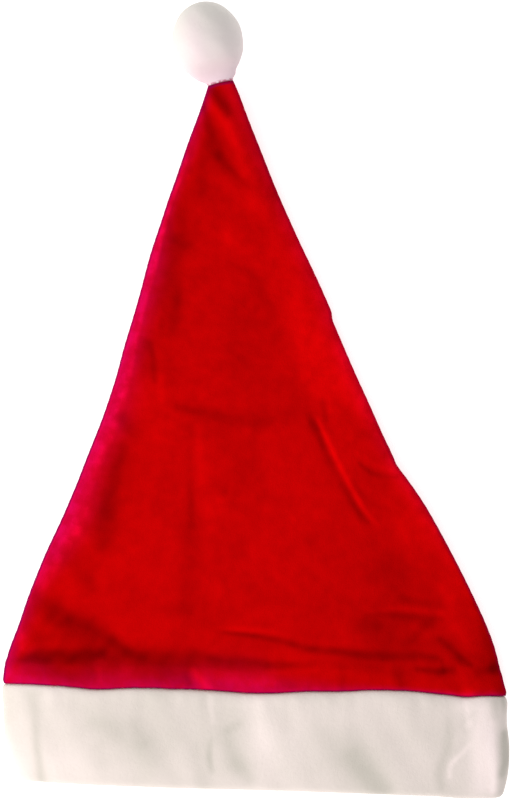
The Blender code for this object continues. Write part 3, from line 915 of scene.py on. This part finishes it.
# %% The band's surface
BAND_ROWS = (
    # down, left, right, depth
    (0.00, -0.503, 0.504, 1.00),
    (0.25, -0.498, 0.503, 1.03),
    (0.50, -0.495, 0.509, 1.04),
    (0.75, -0.490, 0.508, 1.02),
    (1.00, -0.480, 0.498, 0.97),
)
BAND_TOP_STEPS, BAND_UNDER_STEPS = 290, 50


def band_section(down):
    """The line that the crown's cloth would follow if it ran on down through the band."""
    left, right, depth = read_rows(BAND_ROWS, down)
    low = np.full_like(depth, BAND_PROUD)
    edge, roundness = np.full_like(depth, CROWN_ROWS[0][4]), np.zeros_like(depth)
    return left * CROWN_WIDTH, right * CROWN_WIDTH, low, low + depth * CROWN_DEPTH, edge, roundness


def band_profile():
    """(out, down, shows) round the hairpin: its distance out, share down, and whether it shows."""
    inside_crown = -(CLOTH + GAP)
    hem_inner = inside_crown - HEM_WALL
    inner = BAND_PROUD - BAND_WALL
    turn = np.linspace(0, np.pi, 15)[1:-1]
    middle, round_out, round_down = (inner + BAND_PROUD) / 2, BAND_WALL / 2, 0.055
    inner_down = [(inner, d, 0) for d in np.linspace(0.2, 0.94, 9)]
    lower_fold = [(middle - round_out * math.cos(a), 0.945 + round_down * math.sin(a), 1) for a in turn]
    outer_up = [(BAND_PROUD, d, 1) for d in np.linspace(0.94, 0.10, 42)]
    shoulder = [(BAND_PROUD * r, d, 1) for r, d in ((0.95, 0.07), (0.80, 0.042), (0.52, 0.02), (0.1, 0.006))]
    hidden = [(BAND_PROUD - FLEECE, d, 0) for d in (0.10, 0.35, 0.65, 0.90)]
    hidden += [(middle, 0.95, 0)]
    hidden += [(inner + FLEECE, d, 0) for d in (0.90, 0.65, 0.35, 0.10)]
    split = (inside_crown + hem_inner) / 2
    hem_top = -HEM_REACH / BAND_HEIGHT
    return np.array(
        [(hem_inner, hem_top, 0), (hem_inner, 0.05, 0)]
        + inner_down
        + lower_fold
        + outer_up
        + shoulder
        + [(inside_crown, 0.0, 0), (inside_crown, hem_top, 0), (split + GAP / 6, hem_top, 0)]
        + [(split + GAP / 6, 0.0, 0)]
        + hidden
        + [(split - GAP / 6, 0.0, 0), (split - GAP / 6, hem_top, 0)]
    )


# Cuff strokes: relief, and painted shade (below 0) or highlight (above 0); those near 145 mm paint its right
# end's shade.
BAND_CREASES = (
    ((-127, -6, 4.0, -0.14), (-124.5, -32, 2.6, -0.22), (-121.5, -54, 3.4, -0.26)),
    ((-106, -8, 8, -0.08), (-84, -22.5, 12, -0.12), (-64, -33, 12, -0.18), (-58, -46, 11, -0.10)),
    ((-92, -20.5, 6, -0.08), (-79, -25, 6, -0.12)),
    ((-68, -20, 3.8, -0.08), (-63.5, -31, 4.2, -0.10)),
    ((-32, -32.5, 5, -0.08), (-28, -53.5, 5, -0.12)),
    ((-24.5, -29, 1.9, -0.14), (-24, -38, 2.1, -0.32), (-23, -46, 1.8, -0.14)),
    ((-60, -14, 18, -0.10), (-30, -22, 18, -0.12)),
    ((-25, -4.5, 1.9, 0.14), (-23.5, -18, 1.9, 0.10)),
    ((-15, -22.5, 3.0, -0.16), (-8.5, -18, 2.8, -0.10)),
    ((-13, -30, 4.5, -0.16), (-8, -41, 6.0, -0.28), (-3, -48.5, 5.0, -0.20)),
    ((3, -8.5, 10, 0.20), (5, -26, 9, 0.22), (9, -48, 8, 0.06)),
    ((22, -28, 6, 0.10), (26, -38, 6, 0.06)),
    ((37, -20, 7, -0.08), (51, -31, 10, -0.20), (62, -41.5, 10.5, -0.30), (75, -53.5, 7, -0.26)),
    ((56, -36, 5, -0.08), (63, -42, 5, -0.10)),
    ((57, -22, 6, -0.08), (60, -30, 6, -0.12)),
    ((-88, -34, 5, -0.08), (-85, -42, 5, -0.08)),
    ((115, -16, 5, 0.08), (117, -24, 5, 0.12)),
    (
        (112, -14.5, 3.0, -0.10), (112.5, -29, 3.0, -0.16), (107.5, -44.5, 3.2, -0.20),
        (108.5, -52, 2.8, -0.18),
    ),
    ((113, -47, 1.3, 0.16), (114, -40, 1.6, 0.20), (119.5, -34, 1.7, 0.20), (125.5, -27, 1.4, 0.08)),
    ((122, -4, 1.7, 0.14), (123.5, -16.5, 1.8, 0.18)),
    ((122, -5, 8, 0.24), (131, -8, 7, 0.42), (131, -22, 8, 0.46), (133, -51.5, 8, 0.36)),
    ((139.5, -3, 2.4, -0.12), (139, -12, 2.2, -0.10)),
    ((137, -16, 3.0, 0.16), (138, -30, 3.6, 0.34), (139, -55, 2.6, 0.34)),
    ((144, -2, 2.0, -0.36), (144.5, -9, 1.8, -0.12)),
    ((145, -22, 2.6, -0.36), (146, -36, 3.0, -0.40), (143, -45, 3.0, -0.32)),
    ((-147, -2, 8, -0.14), (-144, -24, 8, -0.10), (-141, -40, 8, 0.06), (-137, -56, 9, 0.20)),
    ((-139, -43, 11, 0.04), (-111, -49.5, 11, 0.14), (-88, -52, 8, 0.10)),
)
BAND_CREASE_DEPTH = 0.12
BAND_PUCKER_HEIGHT = 0.0003
CORNER_DROP, CORNER_START, CORNER_END = 0.0012, 0.100, 0.125
FOLD_LIFT, FOLD_LIFT_PLACE, FOLD_LIFT_REACH = 0.0007, 0.03, 0.06


def add_band():
    """The hairpin profile carried round the opening; its hem follows the crown's own sections."""
    out, down, shows = (column[:, None] for column in band_profile().T)
    share, on_top = ring_shares(BAND_TOP_STEPS, BAND_UNDER_STEPS)
    hem_up = np.maximum(-down * BAND_HEIGHT / CROWN_HEIGHT, 0)
    in_band, in_crown = band_section(np.maximum(down, 0)), crown_section(hem_up)
    section = [np.where(down < 0, c, b) for b, c in zip(in_band, in_crown)]
    x, z, inwards = section_ring(section, share, on_top, out, lens_share(hem_up))
    drop = down * BAND_HEIGHT * np.where(down < 0, 1, 1 + BAND_SLANT * 2 * x / CROWN_WIDTH)
    corner = CORNER_DROP * ease(x, CORNER_START, CORNER_END)
    uneven = corner - FOLD_LIFT * np.exp(-(((x - FOLD_LIFT_PLACE) / FOLD_LIFT_REACH) ** 2))
    drop = drop + uneven * ease(down, 0.3, 1.0)
    y = seam_rise(x) * (1 - ease(down, 0.0, 0.9)) - GAP * (down >= 0) - drop
    shown = ease(inwards, 0.0, 0.005) * on_top * ease(down, 0.0, 0.08)
    # Relief and painted shading of the cuff's creases.
    height, tone = creases(*wandering(x, y, 51), BAND_CREASES, BAND_CREASE_DEPTH)
    z = z + height * shown
    z = z + ripple(x, y, 11, (0.031, 0.023, 0.041, 0.018), 0.00018) * shown
    z = z + shows * pucker(x, 7, 0.012) * BAND_PUCKER_HEIGHT * shown * np.exp(-np.abs(down) * 7)
    points = np.stack([x + seam_x, y + seam_y, z], axis=-1)
    rings, count = x.shape
    groups = [quads_between(count, i * count, (i + 1) % rings * count) for i in range(rings)]
    marks = (("tone", tone * on_top * shows),)
    return mesh_object("band_fleece", points.reshape(-1, 3), groups, marks)


band = add_band()

# %% [markdown]
# ## The pompom
#
# A ball of fibre, drawn in at a neck and sewn to the tip. It is heavier at the top than a plain
# ball, so it is modelled along its own axis: a table of radii from the neck to the widest ring,
# then an ellipse over the top. It rests on the table, so its underside is flat where it would
# otherwise sink in. Each point carries a pink painted reflection of the red felt, strongest by the
# red tip and fading over the ball, a faint pink stripe of painted light on its lit side, and its
# distance from the neck.

# %% The pompom's surface
POMPOM_ROWS = (
    # along, radius, centred
    (0.00, 0.42, 0.00),
    (0.10, 0.57, 0.20),
    (0.20, 0.76, 0.45),
    (0.31, 0.91, 0.75),
    (0.42, 0.98, 0.95),
    (0.52, 1.00, 1.00),
)
POMPOM_SIDES, POMPOM_RINGS = 220, 150
# Painted reflection of the red felt by the neck and over the ball, and painted pink light on the lit side.
NECK_PINK_REFLECTION, NECK_REACH = 0.60, 0.22
BALL_PINK_REFLECTION, BALL_PLACE, BALL_REACH = 0.22, 0.4, 0.35
LIT_SIDE_PINK, SIDE_PLACE, SIDE_REACH = 0.16, 0.35, 0.28


def pompom_surface(along, angle, out=0.0):
    """Points on the pompom, by share along its axis and angle round it, moved out by a distance."""
    left, right, low, high, _, _ = crown_section(np.array(1.0))
    tip_half = (right - left) / 2 / math.cos(TIP_TURN)
    radius, widest = POMPOM_WIDTH / 2, POMPOM_ROWS[-1][0]
    share, centred = read_rows(POMPOM_ROWS, np.minimum(along, widest))
    past = np.clip((along - widest) / (1 - widest), 0, 1)
    share = share * np.sqrt(1 - past**2)
    at_neck = 1 - ease(along, 0.0, 0.08)
    flattened = 1 - ease(along, 0.0, 0.25)
    wide = radius * share * (1 - at_neck) + tip_half * at_neck + out
    tall = radius * share * (1 - flattened) + (high - low) / 2 * flattened + out
    height = (POMPOM_DEPTH - radius) * centred + (low + high) / 2 * (1 - centred)
    ahead = np.array([-math.sin(TIP_TURN), math.cos(TIP_TURN)])
    aside = np.array([math.cos(TIP_TURN), math.sin(TIP_TURN)])
    start = np.array([seam_x + (left + right) / 2, seam_y + CROWN_HEIGHT])
    reach = GAP + along * POMPOM_LENGTH
    sideways = wide * np.cos(angle) - POMPOM_LEAN * ease(along, 0.0, 0.15)
    x = start[0] + ahead[0] * reach + aside[0] * sideways
    y = start[1] + ahead[1] * reach + aside[1] * sideways
    z = height + tall * np.sin(angle)
    return np.stack(np.broadcast_arrays(x, y, z), axis=-1)


def add_pompom():
    """Rings crowded at the neck and the top, with soft lumps, closed by a fan at each end."""
    along = (1 - np.cos(np.pi * np.arange(POMPOM_RINGS) / POMPOM_RINGS))[:, None] / 2
    angle = np.pi - 2 * np.pi * np.arange(POMPOM_SIDES)[None, :] / POMPOM_SIDES
    lumps = ripple(along * 5, np.cos(angle) * 2, 21, (1.9, 1.3, 1.0, 2.4), 0.00012)
    lumps = lumps + ripple(np.sin(angle) * 2, along * 5, 22, (1.7, 1.1, 2.1), 0.00010)
    shown = ease(along, 0.03, 0.25) * (1 - ease(along, 0.9, 1.0))
    points = pompom_surface(along, angle, lumps * shown)
    points[..., 2] = np.maximum(points[..., 2], 0.0)
    last = (POMPOM_RINGS - 1) * POMPOM_SIDES
    starts = np.arange(POMPOM_RINGS) * POMPOM_SIDES
    groups = [quads_between(POMPOM_SIDES, low, high) for low, high in zip(starts[:-1], starts[1:])]
    flat = points.reshape(-1, 3)
    ends = np.stack([flat[:POMPOM_SIDES].mean(0), pompom_surface(np.array(1.0), np.array(0.0))])
    groups += [fan(POMPOM_SIDES, 0, len(flat), True), fan(POMPOM_SIDES, last, len(flat) + 1, False)]
    # Painted pink light: a painted reflection of the felt, and a painted light stripe on the lit side.
    painted_pink_light = NECK_PINK_REFLECTION * np.exp(-((along / NECK_REACH) ** 2))
    painted_pink_light = painted_pink_light + BALL_PINK_REFLECTION * np.exp(-(((along - BALL_PLACE) / BALL_REACH) ** 2))
    lit_side_pink = LIT_SIDE_PINK * np.exp(-(((np.cos(angle) + SIDE_PLACE) / SIDE_REACH) ** 2))
    lit_side_pink = lit_side_pink * (np.sin(angle) > 0)
    painted_pink_light = painted_pink_light + lit_side_pink * ease(along, 0.98, 0.75) * ease(along, 0.1, 0.4)
    from_neck = along * POMPOM_LENGTH + 0 * angle
    carried = (
        ("painted_pink_light", np.concatenate([painted_pink_light.ravel(), [NECK_PINK_REFLECTION, 0.0]])),
        ("from_neck", np.concatenate([from_neck.ravel(), [0.0, POMPOM_LENGTH]])),
    )
    return mesh_object("pompom_ball", np.concatenate([flat, ends]), groups, carried)


pompom = add_pompom()

# %% [markdown]
# ## Writing shader maths as sums
#
# A cloth's colour is a sum of small effects: a mottle, a fade towards the edge, a stain by the
# seam. Wired by hand that is dozens of nodes. Here a socket is wrapped in a small class whose
# plus, minus and times add the Math nodes, so a mask is written as it would be on paper.

# %% Shader helpers
class Signal:
    """A number that travels through a material's nodes; arithmetic on it adds Math nodes."""

    def __init__(self, finish, socket):
        self.finish = finish
        self.socket = socket

    def math(self, operation, first, second=0.0):
        return self.finish.node("ShaderNodeMath", {"operation": operation}, {0: first, 1: second})

    def __add__(self, other):
        return self.math("ADD", self, other)

    def __sub__(self, other):
        return self.math("SUBTRACT", self, other)

    def __mul__(self, other):
        return self.math("MULTIPLY", self, other)

    def __rsub__(self, other):
        return self.math("SUBTRACT", other, self)

    __radd__ = __add__
    __rmul__ = __mul__

    def rise(self, start, end):
        """0 before start, 1 after end and smooth between, also when end is below start."""
        low, high = min(start, end), max(start, end)
        values = {"Value": self, "From Min": low, "From Max": high}
        settings = {"interpolation_type": "SMOOTHSTEP"}
        smooth = self.finish.node("ShaderNodeMapRange", settings, values)
        return smooth if start < end else 1 - smooth


class Finish:
    """A material with one Principled shader, and short ways to add nodes to it."""

    def __init__(self, name, roughness, specular, sheen, sheen_tint, sheen_roughness):
        self.material = bpy.data.materials.new(name)
        self.material.use_nodes = True
        self.tree = self.material.node_tree
        self.shader = self.tree.nodes["Principled BSDF"]
        self.shader.inputs["Roughness"].default_value = roughness
        self.shader.inputs["Specular IOR Level"].default_value = specular
        self.shader.inputs["Sheen Weight"].default_value = sheen
        self.shader.inputs["Sheen Tint"].default_value = (*sheen_tint, 1.0)
        self.shader.inputs["Sheen Roughness"].default_value = sheen_roughness
        place = self.tree.nodes.new("ShaderNodeTexCoord")
        self.place = Signal(self, place.outputs["Object"])

    def put(self, socket, value):
        """Links a signal to a socket, or sets a plain value on it."""
        if isinstance(value, Signal):
            self.tree.links.new(value.socket, socket)
        elif isinstance(value, tuple) and socket.type == "RGBA":
            socket.default_value = (*value, 1.0)
        else:
            socket.default_value = value

    def node(self, kind, settings, values, output=0):
        """Adds a node with its settings, sets or links its sockets, and gives one output."""
        made = self.tree.nodes.new(kind)
        for key, value in settings.items():
            setattr(made, key, value)
        for key, value in values.items():
            self.put(made.inputs[key], value)
        return Signal(self, made.outputs[output])

    def noise(self, scale, detail=2.0, roughness=0.5):
        """Cloudy noise from 0 to 1 over the object's own place, in waves per metre."""
        values = {"Vector": self.place, "Scale": scale, "Detail": detail, "Roughness": roughness}
        return self.node("ShaderNodeTexNoise", {}, values)

    def mark(self, name):
        """A value that the mesh carries."""
        return self.node("ShaderNodeAttribute", {"attribute_name": name}, {}, "Fac")

    def mix(self, factor, first, second):
        """A blend of two colours."""
        return self.node("ShaderNodeMix", {"data_type": "RGBA"}, {0: factor, 6: first, 7: second}, 2)

    def scaled(self, colour, amount):
        """A colour made darker or lighter as a whole."""
        return self.node("ShaderNodeVectorMath", {"operation": "SCALE"}, {0: colour, "Scale": amount})

    def finish(self, colour, height, distance):
        """Connects the colour and the relief to the shader."""
        self.put(self.shader.inputs["Base Color"], colour)
        bump = {"Height": height, "Distance": distance, "Strength": 1.0}
        self.put(self.shader.inputs["Normal"], self.node("ShaderNodeBump", {}, bump))
        return self.material


# %% [markdown]
# ## Red felt
#
# Every crease paints shade into the colour of its valley and a highlight into that of its ridge,
# and that painted shading rides on the mesh. The colour itself is a deep red with a faint mottle.
# A painted crimson sheen lies along the rolled sides, most on the left, and over the seam
# allowance, and a painted highlight brightens a narrow strip along each roll. In the last
# millimetres before a side it turns to a broken line of dark plum, which is painted shade where the
# cloth rolls under; the same plum is painted shade at the tip under the ball's neck, and at the
# seam it is the thread's dark joint with painted shade in the groove.
# Felt has no gloss: what it sends back sideways is the sheen of its nap, and that is red too.

# %% Red felt
DARK_RED, BRIGHT_RED = (0.435, 0.0005, 0.0008), (0.57, 0.0007, 0.0010)
# The colour of the painted crimson sheen.
PAINTED_SHEEN_CRIMSON = (0.50, 0.0014, 0.055)
# Plums: painted shade at the sides and the tip; at the seam the thread's dark joint and painted shade.
LEFT_PLUM_SHADE, RIGHT_PLUM_SHADE, JOINT_PLUM_AND_SHADE = (0.24, 0.002, 0.058), (0.20, 0.001, 0.020), (0.20, 0.002, 0.055)


def red_felt():
    """Mottled red with painted shading, sheen and highlight from the mesh, plum at edges, seam and tip."""
    felt = Finish("red_felt", 1.0, 0.0, 0.10, (1.0, 0.02, 0.12), 0.4)
    cloudy = felt.noise(38.0, 3.0, 0.5)
    stroked = felt.noise(150.0, 2.0, 0.5)
    nap = felt.noise(1500.0, 2.0, 0.7)
    shade = cloudy.rise(0.25, 0.75) * 0.6 + stroked.rise(0.25, 0.75) * 0.35 + nap * 0.05
    red = felt.mix(shade, DARK_RED, BRIGHT_RED)
    # Painted shading of the creases: darker in valleys, lighter on ridges.
    red = felt.scaled(red, 1 + felt.mark("tone") * 1.0)
    from_left, from_right = felt.mark("from_left"), felt.mark("from_right")
    above = felt.mark("above_seam")
    # Painted crimson sheen along the rolls and over the hem.
    share = felt.mark("crimson") * (0.62 + stroked.rise(0.3, 0.7) * 0.5)
    crimson = felt.scaled(PAINTED_SHEEN_CRIMSON, 1 + felt.mark("tone") * 0.9)
    coloured = felt.mix(share, red, crimson)
    # Painted highlight along the rolls.
    coloured = felt.scaled(coloured, 1 + felt.mark("lit") * (0.17 + stroked.rise(0.3, 0.7) * 0.26))
    # Painted shade: a broken dark plum line where each side rolls under, strongest near the hem.
    low_down = above.rise(0.180, 0.090)
    left_edge_shade = from_left.rise(0.0021, 0.0006) * (0.50 + low_down * 0.55 + stroked * 0.7)
    coloured = felt.mix(left_edge_shade, coloured, LEFT_PLUM_SHADE)
    right_edge_shade = from_right.rise(0.0028, 0.0004) * (0.22 + low_down * 0.25 + stroked * 0.6)
    coloured = felt.mix(right_edge_shade, coloured, RIGHT_PLUM_SHADE)
    # At the seam the thread's dark joint with painted shade in its groove; at the tip painted shade.
    seam = above.rise(0.0012, 0.0003) * (0.4 + stroked * 0.8)
    tip_shade = above.rise(CROWN_HEIGHT - 0.0022, CROWN_HEIGHT - 0.0010)
    seam = seam + tip_shade * stroked * 1.2
    coloured = felt.mix(seam, coloured, JOINT_PLUM_AND_SHADE)
    return felt.finish(coloured, nap * 0.6 + stroked, 0.0004)


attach(crown, "root")
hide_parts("crown")
crown.data.materials.append(red_felt())

# %% [markdown]
# ## White fleece
#
# The cuff and the ball are an off-white between a warm light colour and a grey green deep one,
# and a faint mottle moves them between the two. On the cuff the creases also paint highlight and
# shade into the colour as on the felt, warm on a ridge and grey green in a valley. The pile is
# finer than a pixel, so it lives in the bump and in the mottle. The ball carries a pink painted
# reflection of the red felt and a stripe of painted light as its mesh says, and a few fibres of the
# felt show through the white right at its neck.

# %% White fleece
# The cuff's light and deep whites: its mottle and its creases' painted shading both move between them.
BAND_LIGHT_AND_LIT, BAND_DEEP_AND_SHADED = (0.93, 0.79, 0.765), (0.63, 0.578, 0.515)
BALL_LIGHT, BALL_DEEP = (0.82, 0.76, 0.712), (0.695, 0.675, 0.615)
# The pink of the ball's painted reflection and painted light; the red of felt fibres at its neck.
PAINTED_PINK, NECK_RED = (0.81, 0.565, 0.67), (0.45, 0.04, 0.12)
BAND_GRAIN, BALL_GRAIN = 420.0, 520.0


def white_fleece(name, light, deep, middle, grain, creased):
    """Off-white between a light and a deep colour, by cloudy noise, tufts and the creases' painted shading.
    """
    fleece = Finish(name, 1.0, 0.03, 0.12, (1.0, 0.97, 0.94), 0.6)
    cloudy = fleece.noise(30.0, 2.0, 0.5)
    tufts = fleece.noise(grain, 3.0, 0.6)
    pile = fleece.noise(grain * 4, 2.0, 0.7)
    share = cloudy.rise(0.25, 0.75) * 0.22 + tufts * 0.14 + (middle - 0.18)
    # On the cuff, painted shading: the light colour on ridges, the deep one in valleys.
    if creased:
        share = share + fleece.mark("tone") * 1.2
    colour = fleece.mix(share, deep, light)
    # More painted shading: lighter on ridges, darker in valleys.
    if creased:
        colour = fleece.scaled(colour, 1 + fleece.mark("tone") * 0.3)
    else:
        # Painted pink light on the ball: a painted reflection of the red felt and a painted light stripe.
        colour = fleece.mix(fleece.mark("painted_pink_light"), colour, PAINTED_PINK)
        fibres = fleece.noise(grain, 2.0, 0.6).rise(0.35, 0.60)
        under_fibres = fleece.mark("from_neck").rise(0.0016, 0.0004) * fibres * 0.8
        colour = fleece.mix(under_fibres, colour, NECK_RED)
    return fleece.finish(colour, tufts + pile * 0.5, 0.00020)


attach(band, "root")
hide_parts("band")
band.data.materials.append(
    white_fleece("white_fleece", BAND_LIGHT_AND_LIT, BAND_DEEP_AND_SHADED, 0.38, BAND_GRAIN, True)
)
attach(pompom, "root")
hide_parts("pompom")
pompom.data.materials.append(
    white_fleece("white_fibre", BALL_LIGHT, BALL_DEEP, 0.4, BALL_GRAIN, False)
)

# %% [markdown]
# ## A pale table
#
# The table is matt and nearly white, with a grain too faint to see, and it glows a little by
# itself, so that the hat casts hardly any shadow.

# %% The table's finish
pale = Finish("pale_table", 0.8, 0.0, 0.0, (1.0, 1.0, 1.0), 0.5)
table_grain = pale.noise(300.0, 2.0, 0.5)
pale.shader.inputs["Emission Color"].default_value = (1.0, 1.0, 1.0, 1.0)
pale.shader.inputs["Emission Strength"].default_value = TABLE_GLOW
table.data.materials.append(
    pale.finish(pale.mix(table_grain, (0.89, 0.89, 0.89), (0.91, 0.91, 0.91)), table_grain, 0.00005)
)

# %% [markdown]
# ## How far the finer pieces reach
#
# The crown is two panels of felt, and the band is one strip, and cloth neither stretches nor
# shrinks much. The box round everything shown is measured against the frame's box, and the growth
# on each axis is printed in millimetres.

visual_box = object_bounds()
grown = [[round((b - a) * 1000, 2) for a, b in zip(c, v)] for c, v in zip(cad_box, visual_box)]
print("box grows by (mm):", grown)
